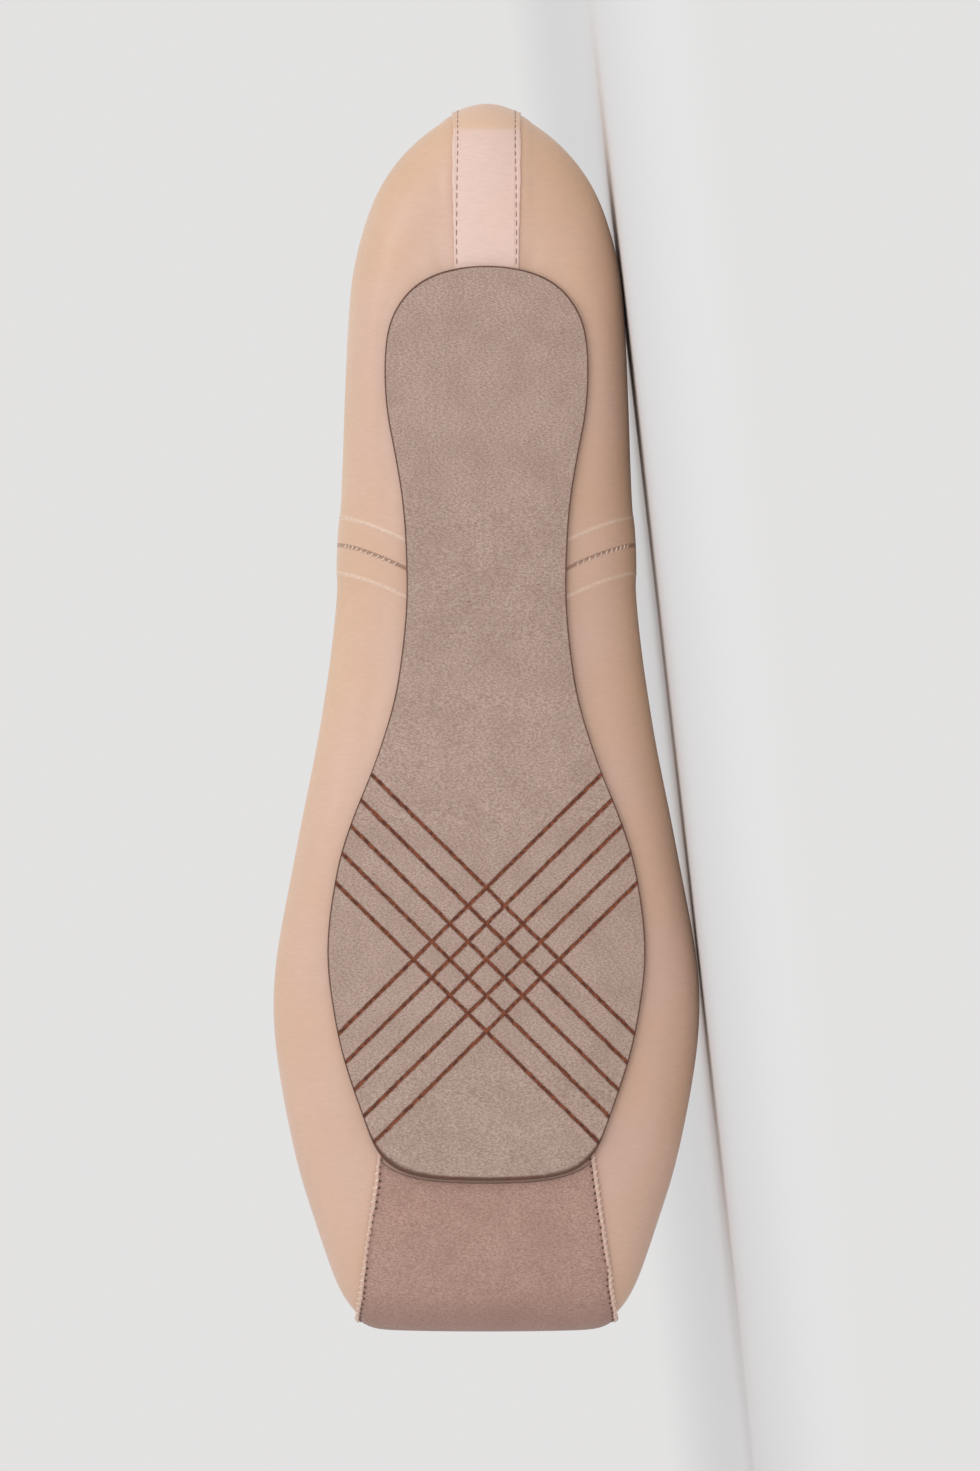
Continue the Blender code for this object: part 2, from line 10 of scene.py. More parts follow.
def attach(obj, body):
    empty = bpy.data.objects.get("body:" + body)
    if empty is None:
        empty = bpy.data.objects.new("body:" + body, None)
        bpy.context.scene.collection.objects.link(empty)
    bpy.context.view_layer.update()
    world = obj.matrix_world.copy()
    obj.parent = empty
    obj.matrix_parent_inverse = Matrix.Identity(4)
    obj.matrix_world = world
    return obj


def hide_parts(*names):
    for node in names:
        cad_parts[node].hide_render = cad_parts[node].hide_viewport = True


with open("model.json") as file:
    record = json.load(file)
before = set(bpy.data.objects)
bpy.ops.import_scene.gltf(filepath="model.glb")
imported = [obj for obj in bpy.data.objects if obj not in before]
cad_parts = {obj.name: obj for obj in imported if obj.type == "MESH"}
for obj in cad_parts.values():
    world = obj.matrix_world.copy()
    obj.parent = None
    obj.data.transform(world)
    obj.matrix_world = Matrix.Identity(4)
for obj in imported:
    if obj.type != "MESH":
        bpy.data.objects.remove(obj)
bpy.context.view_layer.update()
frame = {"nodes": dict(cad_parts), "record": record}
print("frame loaded")

# The shoe's own frame, in millimetres: x from the back of the heel to the toe, y to its left, and z up
# from the sole. The two flats of the outsole say where it lies.
shoe = {
    "heelFlatAt": 58.0,
    "viewedAt": (126.3, -0.7, 0.0),  # the point in the middle of the picture
    "footFrom": 45.0,  # the middle of the foot runs from this x to the next one, at this height
    "footTo": 205.0,
    "footHeight": 22.0,
}


def shoeFrame():
    mounts = {mount["name"]: mount for mount in frame["record"]["mounts"]}
    heel = Vector(mounts["heel_flat"]["pos_m"])
    forefoot = Vector(mounts["forefoot_flat"]["pos_m"])
    toeWay = (forefoot - heel).normalized()
    upWay = -Vector(mounts["heel_flat"]["axis"]).normalized()
    leftWay = upWay.cross(toeWay).normalized()
    turn = Matrix((toeWay, leftWay, toeWay.cross(leftWay))).transposed().to_4x4()
    start = heel - toeWay * shoe["heelFlatAt"] / 1000
    return Matrix.Translation(start) @ turn


toWorld = shoeFrame() @ Matrix.Scale(0.001, 4)
toShoe = toWorld.inverted()
shoeTurn = shoeFrame().to_3x3()


# Camera, lights and floor

view = {
    "distance": 6.0,
    "pictureHeight": 0.2933,  # what the picture's height spans at the sole
    "sensor": 36.0,
    "aim": (0, 0, 0.04),  # what both lights point at
    "keyPlace": (0.75, -0.4, 0.8),
    "keySize": 0.6,
    "keyPower": 2.0,
    "keyColour": (1.0, 0.985, 0.96),
    "frontPlace": (0.2, -1.3, 0.3),
    "frontSize": 0.8,
    "frontPower": 4.4,
    "frontColour": (1.0, 1.0, 1.0),
    "world": 0.77,
    "worldColour": (1.0, 0.99, 0.985, 1),
    "floorColour": (226, 226, 227),
    "floorDrop": 0.0002,
    "floorReach": 0.9,
    "floorFades": (0.22, 0.85),  # metres from the shoe, where the floor starts to fade and is gone
}


def addCamera():
    target = toWorld @ Vector(shoe["viewedAt"])
    back = shoeTurn @ Vector((0, 0, -1))
    side = shoeTurn @ Vector((0, -1, 0))
    up = shoeTurn @ Vector((-1, 0, 0))
    turn = Matrix((side, up, back)).transposed().to_4x4()
    data = bpy.data.cameras.new("photoCamera")
    data.sensor_width = view["sensor"]
    data.lens = view["sensor"] * view["distance"] / view["pictureHeight"]
    data.clip_start = 0.01
    camera = bpy.data.objects.new("photoCamera", data)
    camera.matrix_world = Matrix.Translation(target + back * view["distance"]) @ turn
    bpy.context.scene.collection.objects.link(camera)
    bpy.context.scene.camera = camera


def addLight(which):
    name = which + "Light"
    data = bpy.data.lights.new(name, "AREA")
    data.shape = "DISK"
    data.size = view[which + "Size"]
    data.energy = view[which + "Power"]
    data.color = view[which + "Colour"]
    light = bpy.data.objects.new(name, data)
    place = Vector(view[which + "Place"])
    light.location = place
    light.rotation_euler = (Vector(view["aim"]) - place).to_track_quat("-Z", "Y").to_euler()
    bpy.context.scene.collection.objects.link(light)


def addStudio():
    addLight("key")
    addLight("front")
    world = bpy.data.worlds.new("studio")
    world.use_nodes = True
    world.node_tree.nodes["Background"].inputs["Color"].default_value = view["worldColour"]
    world.node_tree.nodes["Background"].inputs["Strength"].default_value = view["world"]
    bpy.context.scene.world = world
    bpy.ops.mesh.primitive_circle_add(
        vertices=96, radius=view["floorReach"], fill_type="NGON", location=(0, 0, -view["floorDrop"])
    )
    floor = bpy.context.object
    floor.name = "studioFloor"
    floor.data.materials.append(floorFinish())
    bpy.context.scene.view_settings.view_transform = "Standard"


# Material helpers


def linear(red, green, blue):
    def one(value):
        value /= 255
        return value / 12.92 if value <= 0.04045 else ((value + 0.055) / 1.055) ** 2.4

    return (one(red), one(green), one(blue), 1.0)


def darker(tone, share):
    return linear(*[channel * share for channel in tone])


class Finish:
    # Wraps one material's nodes, with the shoe's own millimetres as its coordinates.
    def __init__(self, name, colour, roughness):
        self.material = bpy.data.materials.new(name)
        self.material.use_nodes = True
        self.material.diffuse_color = colour
        self.nodes = self.material.node_tree.nodes
        self.links = self.material.node_tree.links
        self.shader = self.nodes["Principled BSDF"]
        self.shader.inputs["Base Color"].default_value = colour
        self.shader.inputs["Roughness"].default_value = roughness
        place = self.nodes.new("ShaderNodeTexCoord").outputs["Object"]
        mapping = self.nodes.new("ShaderNodeMapping")
        turn = shoeTurn.transposed()
        start = shoeFrame().translation
        mapping.inputs["Scale"].default_value = (1000, 1000, 1000)
        mapping.inputs["Rotation"].default_value = turn.to_euler("XYZ")
        mapping.inputs["Location"].default_value = -(turn @ start) * 1000
        self.links.new(place, mapping.inputs["Vector"])
        self.place = mapping.outputs["Vector"]
        self.heights = []

    def feed(self, socket, value):
        if isinstance(value, bpy.types.NodeSocket):
            self.links.new(value, socket)
        else:
            socket.default_value = value

    def maths(self, operation, *values):
        node = self.nodes.new("ShaderNodeMath")
        node.operation = operation
        for socket, value in zip(node.inputs, values):
            self.feed(socket, value)
        return node.outputs[0]

    def parts(self):
        # The place's X, Y and Z
        node = self.nodes.new("ShaderNodeSeparateXYZ")
        self.links.new(self.place, node.inputs[0])
        return node.outputs

    def fromRows(self, value, at):
        # How far a value is from either of two rows, one on each side of nought
        return self.maths("ABSOLUTE", self.maths("SUBTRACT", self.maths("ABSOLUTE", value), at))

    def waver(self, scale, reach):
        # Noise that swings about nought
        return self.maths("MULTIPLY", self.maths("SUBTRACT", self.noise(scale, 3.0), 0.5), reach)

    def stretched(self, scale, turn=(0, 0, 0)):
        node = self.nodes.new("ShaderNodeMapping")
        node.inputs["Scale"].default_value = scale
        node.inputs["Rotation"].default_value = turn
        self.links.new(self.place, node.inputs["Vector"])
        return node.outputs["Vector"]

    def noise(self, scale, detail=2.0, roughness=0.5, vector=None):
        node = self.nodes.new("ShaderNodeTexNoise")
        node.inputs["Scale"].default_value = scale
        node.inputs["Detail"].default_value = detail
        node.inputs["Roughness"].default_value = roughness
        self.links.new(vector or self.place, node.inputs["Vector"])
        return node.outputs["Fac"]

    def ramp(self, value, low, high, start=0.0, end=1.0):
        node = self.nodes.new("ShaderNodeMapRange")
        node.interpolation_type = "SMOOTHSTEP"
        self.feed(node.inputs["Value"], value)
        for name, number in (("From Min", low), ("From Max", high), ("To Min", start), ("To Max", end)):
            node.inputs[name].default_value = number
        return node.outputs["Result"]

    def mix(self, share, first, second):
        node = self.nodes.new("ShaderNodeMix")
        node.data_type = "RGBA"
        self.feed(node.inputs["Factor"], share)
        # The colour sockets stand after those for numbers and vectors
        self.feed(node.inputs[6], first)
        self.feed(node.inputs[7], second)
        return node.outputs[2]

    def colour(self, value):
        self.feed(self.shader.inputs["Base Color"], value)

    def baseSocket(self):
        # What feeds the colour so far
        return self.shader.inputs["Base Color"].links[0].from_socket

    def attribute(self, name):
        node = self.nodes.new("ShaderNodeAttribute")
        node.attribute_name = name
        return node.outputs["Fac"]

    def bump(self, height, depth):
        # depth is the real height of the relief, in millimetres
        node = self.nodes.new("ShaderNodeBump")
        node.inputs["Strength"].default_value = 1.0
        node.inputs["Distance"].default_value = depth / 1000
        self.feed(node.inputs["Height"], height)
        if self.heights:
            self.links.new(self.heights[-1], node.inputs["Normal"])
        self.heights.append(node.outputs["Normal"])
        self.links.new(node.outputs["Normal"], self.shader.inputs["Normal"])


def floorFinish():
    finish = Finish("paleFloor", linear(*view["floorColour"]), 1.0)
    finish.shader.inputs["Specular IOR Level"].default_value = 0.0
    # The floor melts into the pale room
    length = finish.nodes.new("ShaderNodeVectorMath")
    length.operation = "LENGTH"
    finish.links.new(finish.nodes["Texture Coordinate"].outputs["Object"], length.inputs[0])
    fade = finish.ramp(length.outputs["Value"], *view["floorFades"], 1.0, 0.0)
    finish.feed(finish.shader.inputs["Alpha"], fade)
    return finish.material


# Satin of the upper, the strip and the binding

satin = {
    "peach": (221, 184, 154),
    "pink": (214, 179, 162),
    "tan": (212, 173, 140),
    "tape": (230, 201, 189),
    "stripShade": (228, 192, 176),
    "bindingShade": (222, 184, 166),
    "welt": (222, 190, 172),
    "seamShade": (140, 100, 80),
    "lining": (222, 205, 182),
    "pinkHeights": (3.0, 15.0),  # pink below the first, and peach above the second
    "toeShadeLengths": (130.0, 215.0),  # pinker from the first on
    "threadPitch": 0.42,
    "threadLength": 2.4,
    "threadRelief": 0.03,
    "roughness": 0.38,
    "shine": 0.42,
    "sheen": 0.15,
    "sheenRoughness": 0.45,
    "sheenTint": (255, 232, 220),
}


def weave(finish, along, across, relief):
    # Satin floats: long fine threads one way, crossed by faint rows the other way
    floats = finish.noise(1.0, 2.0, 0.6, finish.stretched((1 / across, 1 / along, 1 / along)))
    rows = finish.noise(1.0, 1.0, 0.5, finish.stretched((1 / along, 1 / across, 1 / along)))
    finish.bump(finish.maths("ADD", floats, finish.maths("MULTIPLY", rows, 0.5)), relief)
    return floats


def satinFinish(name, main, second):
    finish = Finish(name, linear(*main), satin["roughness"])
    shader = finish.shader
    shader.inputs["Sheen Weight"].default_value = satin["sheen"]
    shader.inputs["Sheen Roughness"].default_value = satin["sheenRoughness"]
    shader.inputs["Sheen Tint"].default_value = linear(*satin["sheenTint"])
    shader.inputs["Specular IOR Level"].default_value = satin["shine"]
    floats = weave(finish, satin["threadLength"], satin["threadPitch"], satin["threadRelief"])
    place = finish.parts()
    # Pinker where the cloth is drawn under the sole, and towards the toe, where the darker pink is painted
    # shade for the toe lying further from the light; the tape is one tone
    low = finish.ramp(place["Z"], *satin["pinkHeights"], 1.0, 0.0)
    # Painted shade: the satin turns to the darker pink towards the toe
    fore = finish.ramp(place["X"], *satin["toeShadeLengths"], 0.0, 0.75)
    pink = main if main == satin["tape"] else satin["pink"]
    base = finish.mix(finish.maths("MAXIMUM", low, fore), linear(*main), linear(*pink))
    patches = finish.ramp(finish.noise(0.035, 2.0), 0.35, 0.7, 0.0, 0.5)
    base = finish.mix(patches, base, linear(*second))
    fine = finish.ramp(floats, 0.35, 0.65, 0.0, 0.16)
    finish.colour(finish.mix(fine, base, darker(main, 0.86)))
    rough = satin["roughness"]
    uneven = finish.ramp(finish.noise(0.06, 2.0), 0.3, 0.7, rough - 0.05, rough + 0.06)
    finish.feed(shader.inputs["Roughness"], uneven)
    return finish


# Cotton of the lining and the insole

cotton = {
    "insole": (222, 204, 180),
    "threadWidth": 0.5,
    "threadLength": 3.0,
    "relief": 0.05,
    "roughness": 0.9,
    "sheen": 0.2,
}


def liningFinish(name, tone):
    # Plain cotton: a fine square weave, matt
    finish = Finish(name, linear(*tone), cotton["roughness"])
    finish.shader.inputs["Sheen Weight"].default_value = cotton["sheen"]
    across, along = 1 / cotton["threadWidth"], 1 / cotton["threadLength"]
    warp = finish.noise(1.0, 1.0, 0.5, finish.stretched((across, along, along)))
    weft = finish.noise(1.0, 1.0, 0.5, finish.stretched((along, across, across)))
    cloth = finish.maths("ADD", warp, weft)
    finish.bump(cloth, cotton["relief"])
    shade = finish.ramp(cloth, 0.7, 1.3, 0.0, 0.5)
    spots = finish.ramp(finish.noise(0.05, 3.0), 0.4, 0.75, 0.0, 0.4)
    base = finish.mix(shade, linear(*tone), darker(tone, 0.9))
    finish.colour(finish.mix(spots, base, darker(tone, 0.94)))
    return finish


# Suede of the outsole and the toe patch

suede = {
    "sole": (180, 154, 141),
    "soleDark": (132, 106, 94),
    "soleLight": (210, 187, 175),
    "patch": (182, 146, 133),
    "patchDark": (142, 105, 93),
    "patchLight": (208, 175, 161),
    "edge": (84, 50, 36),
    "wall": (146, 117, 103),
    "edgeWidth": 0.4,
    "toeEdgeShadeWidth": 0.85,
    "tipShadeAt": (236.0, 243.5),  # the patch darkens from the first of these to the second
    "napGrain": (3.4, 1.9, 2.6),
    "napTurn": 0.5,
    "napRelief": 0.12,
    "fleckGrain": (3.0, 1.1, 2.0),
    "fleckTurn": -0.6,
    "cloudRelief": 0.15,
    "roughness": 0.95,
    "shine": 0.15,
    "sheen": 0.25,
    "sheenRoughness": 0.6,
}


def suedeFinish(name, main, dark, light):
    finish = Finish(name, linear(*main), suede["roughness"])
    finish.shader.inputs["Specular IOR Level"].default_value = suede["shine"]
    finish.shader.inputs["Sheen Weight"].default_value = suede["sheen"]
    finish.shader.inputs["Sheen Roughness"].default_value = suede["sheenRoughness"]
    napPlace = finish.stretched(suede["napGrain"], (0, 0, suede["napTurn"]))
    nap = finish.noise(1.0, 5.0, 0.75, napPlace)
    clouds = finish.noise(0.12, 4.0, 0.6)
    fleckPlace = finish.stretched(suede["fleckGrain"], (0, 0, suede["fleckTurn"]))
    flecks = finish.noise(1.0, 2.0, 0.5, fleckPlace)
    base = finish.mix(finish.ramp(nap, 0.34, 0.66), linear(*dark), linear(*light))
    base = finish.mix(0.4, base, linear(*main))
    base = finish.mix(finish.ramp(clouds, 0.35, 0.7, 0.0, 0.22), base, linear(*dark))
    base = finish.mix(finish.ramp(flecks, 0.63, 0.74, 0.0, 0.7), base, linear(*dark))
    finish.bump(nap, suede["napRelief"])
    finish.bump(clouds, suede["cloudRelief"])
    return finish, base


# Burnt score lines across the forefoot of the outsole

score = {
    "centre": 171.0,
    "spacing": 5.1,
    "width": 0.66,
    "lean": 45.4,  # degrees off the length of the shoe
    "each": 5,  # lines each way
    "depth": 0.35,
    "waver": 0.34,
    "ragged": 0.5,
    "burnt": (92, 44, 24),
    "burntPale": (136, 72, 44),
    "scorched": (158, 104, 78),
}


def outsoleFinish():
    finish, base = suedeFinish("outsoleSuede", suede["sole"], suede["soleDark"], suede["soleLight"])
    x, y = finish.parts()[:2]
    wobble = finish.waver(0.5, score["waver"])
    lean = math.radians(score["lean"])
    most = (score["each"] - 1) / 2
    lines = None
    for side in (-1, 1):
        away = finish.maths("MULTIPLY", finish.maths("SUBTRACT", x, score["centre"]), math.sin(lean))
        away = finish.maths("ADD", away, finish.maths("MULTIPLY", y, side * math.cos(lean)))
        away = finish.maths("ADD", away, wobble)
        count = finish.maths("ROUND", finish.maths("DIVIDE", away, score["spacing"]))
        count = finish.maths("MAXIMUM", finish.maths("MINIMUM", count, most), -most)
        away = finish.maths("SUBTRACT", away, finish.maths("MULTIPLY", count, score["spacing"]))
        away = finish.maths("ABSOLUTE", away)
        lines = away if lines is None else finish.maths("MINIMUM", lines, away)
    half = score["width"] / 2
    ragged = finish.maths("ADD", lines, finish.waver(2.2, score["ragged"]))
    burnt = finish.ramp(ragged, half * 0.7, half * 1.45, 1.0, 0.0)
    scorched = finish.ramp(ragged, half, half * 2.4, 0.3, 0.0)
    below = finish.ramp(finish.attribute("rise"), 0.9, 1.3, 1.0, 0.0)
    base = finish.mix(finish.maths("MULTIPLY", scorched, below), base, linear(*score["scorched"]))
    shade = finish.ramp(finish.noise(0.9, 2.0), 0.35, 0.65)
    tone = finish.mix(shade, linear(*score["burnt"]), linear(*score["burntPale"]))
    base = finish.mix(finish.maths("MULTIPLY", burnt, below), base, tone)
    # The cut edge is darker than the nap, most of all at the toe: partly the edge's own brown and partly
    # painted shade along the edge, widest at the toe
    width = finish.ramp(x, 204.0, 213.0, suede["edgeWidth"], suede["toeEdgeShadeWidth"])
    inside = finish.maths("DIVIDE", finish.attribute("fromEdge"), width)
    inside = finish.maths("ADD", inside, finish.maths("MULTIPLY", wobble, 0.8))
    base = finish.mix(finish.ramp(inside, 0.35, 1.0, 0.9, 0.0), base, linear(*suede["edge"]))
    # Painted shade: the wall turns to the dark edge tone towards the toe
    wall = finish.mix(finish.ramp(x, 200.0, 210.0), linear(*suede["wall"]), linear(*suede["edge"]))
    base = finish.mix(finish.ramp(finish.attribute("rise"), 0.45, 0.9), base, wall)
    finish.colour(base)
    finish.bump(finish.ramp(lines, half * 0.5, half * 1.6), score["depth"])
    return finish.material


def patchFinish():
    finish, base = suedeFinish("patchSuede", suede["patch"], suede["patchDark"], suede["patchLight"])
    # Painted shade: the suede darkens where the underside rounds into the platform
    tipShade = finish.ramp(finish.parts()["X"], *suede["tipShadeAt"], 0.0, 0.45)
    finish.colour(finish.mix(tipShade, base, linear(*suede["patchDark"])))
    return finish.material


# Sewing thread

thread = {
    "roughness": 0.7,
    "sheen": 0.2,
    "relief": 0.05,
}


def threadFinish(name, tone):
    finish = Finish(name, linear(*tone), thread["roughness"])
    finish.shader.inputs["Sheen Weight"].default_value = thread["sheen"]
    strands = finish.noise(3.0, 2.0)
    finish.colour(finish.mix(finish.ramp(strands, 0.35, 0.65), linear(*tone), darker(tone, 0.82)))
    finish.bump(strands, thread["relief"])
    return finish.material


# Mesh helpers


def deselectAll():
    if bpy.context.object and bpy.context.object.mode != "OBJECT":
        bpy.ops.object.mode_set(mode="OBJECT")
    bpy.ops.object.select_all(action="DESELECT")


def activate(piece):
    deselectAll()
    piece.select_set(True)
    bpy.context.view_layer.objects.active = piece


def applyModifier(piece, kind, **settings):
    activate(piece)
    modifier = piece.modifiers.new(kind.title(), kind)
    for name, value in settings.items():
        setattr(modifier, name, value)
    if kind == "SUBSURF":
        modifier.render_levels = modifier.levels
    bpy.ops.object.modifier_apply(modifier=modifier.name)


def copyNode(node, name):
    # A copy of a node's mesh, with its loose triangles merged back into a grid of quads
    piece = bpy.data.objects.new(name, frame["nodes"][node].data.copy())
    bpy.context.scene.collection.objects.link(piece)
    piece.data.materials.clear()
    activate(piece)
    bpy.ops.object.mode_set(mode="EDIT")
    bpy.ops.mesh.select_all(action="SELECT")
    bpy.ops.mesh.remove_doubles(threshold=2e-6)
    bpy.ops.mesh.tris_convert_to_quads(
        face_threshold=math.radians(60), shape_threshold=math.radians(140)
    )
    bpy.ops.object.mode_set(mode="OBJECT")
    return piece


def keepFaces(piece, keep):
    # Deletes every face that keep(centre, normal, shortest) turns down: the first two are in the shoe's
    # frame, and the last is the face's shortest side
    turn = toShoe.to_3x3()
    mesh = piece.data
    mesh.update()
    activate(piece)
    bpy.ops.object.mode_set(mode="EDIT")
    bpy.ops.mesh.select_all(action="DESELECT")
    bpy.ops.mesh.select_mode(type="FACE")
    bpy.ops.object.mode_set(mode="OBJECT")
    for face in mesh.polygons:
        centre = toShoe @ face.center
        normal = (turn @ face.normal).normalized()
        corners = [mesh.vertices[i].co for i in face.vertices]
        shortest = min((a - b).length for a, b in zip(corners, corners[1:] + corners[:1]))
        face.select = not keep(centre, normal, shortest * 1000)
    bpy.ops.object.mode_set(mode="EDIT")
    bpy.ops.mesh.delete(type="FACE")
    bpy.ops.object.mode_set(mode="OBJECT")


def smooth(piece, angle=40):
    activate(piece)
    bpy.ops.object.shade_smooth_by_angle(angle=math.radians(angle))


def treeOf(*pieces):
    points, faces = [], []
    for piece in pieces:
        start = len(points)
        points.extend(vertex.co.copy() for vertex in piece.data.vertices)
        faces.extend(tuple(start + i for i in face.vertices) for face in piece.data.polygons)
    return BVHTree.FromPolygons(points, faces)


def finishPiece(piece, body="root", nodes=()):
    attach(piece, body)
    if nodes:
        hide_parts(*nodes)


def awayFromFoot(place):
    # The way out of the shoe at a place on it
    nearest = min(max(place.x, shoe["footFrom"]), shoe["footTo"])
    return (place - Vector((nearest, 0.0, shoe["footHeight"]))).normalized()


def outward(centre, normal):
    return normal.dot(awayFromFoot(centre))


# The upper

upperCloth = {
    "levels": 2,
    "seamAt": 88.3,
    "seamBendsBelow": 16.4,
    "seamWidest": 29.4,
    "seamReachIn": 12.8,
    "seamForwards": 4.4,
    "seamCurl": 1.4,
    "seamGroove": 0.3,
    "stripRidge": 0.4,
    "stripRidgeAt": 7.6,
    "stripRidgeWidth": 0.9,
    "stripRidgeTo": 34.0,
}

# Soft creases, given one by one: from and to in the shoe's frame, how deep (a ridge is positive), and how
# wide
creases = (
    ((33, 9, 3), (12, 11, 12), -0.5, 1.8),
    ((33, -9, 3), (12, -11, 12), -0.5, 1.8),
    ((40, 17, 3), (20, 21, 12), 0.35, 3.0),
    ((40, -17, 3), (20, -21, 12), 0.35, 3.0),
    ((76, 18.5, 3), (70, 28, 16), -0.35, 2.6),
    ((76, -18.5, 3), (70, -28, 16), -0.35, 2.6),
    ((118, 19, 3), (112, 30, 14), -0.4, 3.2),
    ((118, -19, 3), (112, -30, 14), -0.4, 3.2),
    ((205, 24.5, 4), (222, 34, 14), -0.3, 3.0),
    ((205, -24.5, 4), (222, -34, 14), -0.3, 3.0),
    ((120, 26, 37), (138, 33, 28), -0.6, 4.0),
    ((120, -26, 37), (138, -33, 28), -0.6, 4.0),
)


def seamLine(y, z):
    # Where the side seam stands along the shoe: straight up the wall, and bent forwards under the foot
    under = 0.0
    if z < upperCloth["seamBendsBelow"]:
        under = max(0.0, (upperCloth["seamWidest"] - abs(y)) / upperCloth["seamReachIn"])
    return upperCloth["seamAt"] + upperCloth["seamForwards"] * under ** upperCloth["seamCurl"]


def nearPath(point, start, end):
    way = end - start
    share = min(1.0, max(0.0, (point - start).dot(way) / way.length_squared))
    return (point - start - way * share).length, share


def shapeUpper(piece):
    mesh = piece.data
    away = mesh.attributes.new("seamAway", "FLOAT", "POINT")
    turn = toShoe.to_3x3()
    back = toWorld.to_3x3()
    paths = [(Vector(a), Vector(b), depth, width) for a, b, depth, width in creases]
    # The normals are read before any point moves
    points = [toShoe @ vertex.co for vertex in mesh.vertices]
    normals = [(turn @ vertex.normal).normalized() for vertex in mesh.vertices]
    places = []
    seams = []
    for point, normal in zip(points, normals):
        seams.append(point.x - seamLine(point.y, point.z))
        lift = 0.0
        if outward(point, normal) > 0:
            for start, end, depth, width in paths:
                gap, share = nearPath(point, start, end)
                if gap < 3 * width:
                    # A crease is deepest at the middle of its length
                    swell = math.sin(math.pi * (0.12 + 0.76 * share))
                    lift += depth * math.exp(-((gap / width) ** 2)) * swell
            if point.x < upperCloth["stripRidgeTo"] and abs(point.y) < 12:
                # The cloth stands up a little beside the strip, above the outsole
                gap = abs(point.y) - upperCloth["stripRidgeAt"]
                ridge = upperCloth["stripRidge"] * min(1.0, max(0.0, (point.z - 2.5) / 3))
                lift += ridge * math.exp(-((gap / upperCloth["stripRidgeWidth"]) ** 2))
        places.extend(toWorld @ (point + normal * lift))
    mesh.vertices.foreach_set("co", places)
    away.data.foreach_set("value", seams)
    mesh.update()


def makeUpper():
    piece = copyNode("upper", "upperSatin")
    applyModifier(piece, "SUBSURF", levels=upperCloth["levels"])
    shapeUpper(piece)
    cloth = satinFinish("peachSatin", satin["peach"], satin["tan"])
    # The side seam is pulled in a little
    seam = cloth.attribute("seamAway")
    fromSeam = cloth.maths("ABSOLUTE", seam)
    cloth.bump(cloth.ramp(fromSeam, 0.1, 0.5), upperCloth["seamGroove"])
    dark = cloth.ramp(fromSeam, 0.05, 0.35, 0.7, 0.0)
    base = cloth.mix(dark, cloth.baseSocket(), linear(*satin["seamShade"]))
    # Light rims where the rows of stitching hold the band down
    rims = cloth.ramp(cloth.fromRows(seam, stitching["seamRowAt"]), 0.1, 0.6, 0.45, 0.0)
    cloth.colour(cloth.mix(rims, base, linear(*stitching["pale"])))
    piece.data.materials.append(cloth.material)
    piece.data.materials.append(liningFinish("cottonLining", satin["lining"]).material)
    turn = toShoe.to_3x3()
    for face in piece.data.polygons:
        inside = outward(toShoe @ face.center, (turn @ face.normal).normalized()) < 0
        face.material_index = 1 if inside else 0
    smooth(piece, 60)
    finishPiece(piece, nodes=["upper"])
    return piece


# Thin layers sewn on the upper

layers = {
    "lift": 0.08,
    "stripThickness": 0.55,
    "patchThickness": 0.65,
    "stripTuck": 1.3,
    "roundEdge": 0.2,
    "leastSide": 1.2,  # faces with a shorter side are the CAD's own edges
}


def sewnLayer(node, name, thickness, base):
    # The outer skin of a node, laid on the upper and given its thickness
    piece = copyNode(node, name)
    least = layers["leastSide"]
    keepFaces(piece, lambda centre, normal, shortest: outward(centre, normal) > 0.1 and shortest > least)
    applyModifier(piece, "SUBSURF", levels=2, boundary_smooth="PRESERVE_CORNERS")
    applyModifier(
        piece,
        "SHRINKWRAP",
        target=base,
        wrap_method="NEAREST_SURFACEPOINT",
        wrap_mode="ABOVE_SURFACE",
        offset=(layers["lift"] + thickness) / 1000,
    )
    applyModifier(piece, "SOLIDIFY", thickness=thickness / 1000, offset=-1.0)
    applyModifier(
        piece,
        "BEVEL",
        width=layers["roundEdge"] / 1000,
        segments=2,
        limit_method="ANGLE",
        angle_limit=math.radians(60),
    )
    smooth(piece, 50)
    return piece


def makeStrip(upper):
    piece = sewnLayer("heel_strip", "heelStrip", layers["stripThickness"], upper)
    # Its lower end is drawn on under the outsole
    for vertex in piece.data.vertices:
        point = toShoe @ vertex.co
        if point.x > 30 and point.z < 5:
            point.x += layers["stripTuck"] * min(1.0, (point.x - 30) / 2)
            vertex.co = toWorld @ point
    cloth = satinFinish("stripSatin", satin["tape"], satin["stripShade"])
    x, y = cloth.parts()[:2]
    cloth.bump(cloth.ramp(cloth.fromRows(y, stitching["stripRowAt"]), 0.05, 0.5), stitching["rowDepth"])
    # Painted shade: peach on the back, above the turn under the heel, where the strip turns away from the
    # light
    cloth.colour(cloth.mix(cloth.ramp(x, 4.4, 5.8, 0.8, 0.0), cloth.baseSocket(), linear(*satin["peach"])))
    piece.data.materials.append(cloth.material)
    finishPiece(piece, nodes=["heel_strip"])
    return piece


def makePatch(upper):
    piece = sewnLayer("toe_patch", "toePatch", layers["patchThickness"], upper)
    piece.data.materials.append(patchFinish())
    finishPiece(piece, nodes=["toe_patch"])
    return piece


# The outsole and the insole

soles = {
    "outsoleThickness": 2.0,
    "outsoleRound": 0.55,
    "insoleThickness": 1.5,
    "insoleRound": 0.5,
    "length": 245.0,
    "archSpan": (0.32, 0.60),  # shares of the length
    "archLift": 2.4,
    "springFrom": 0.765,
    "springLift": 6.2,
}


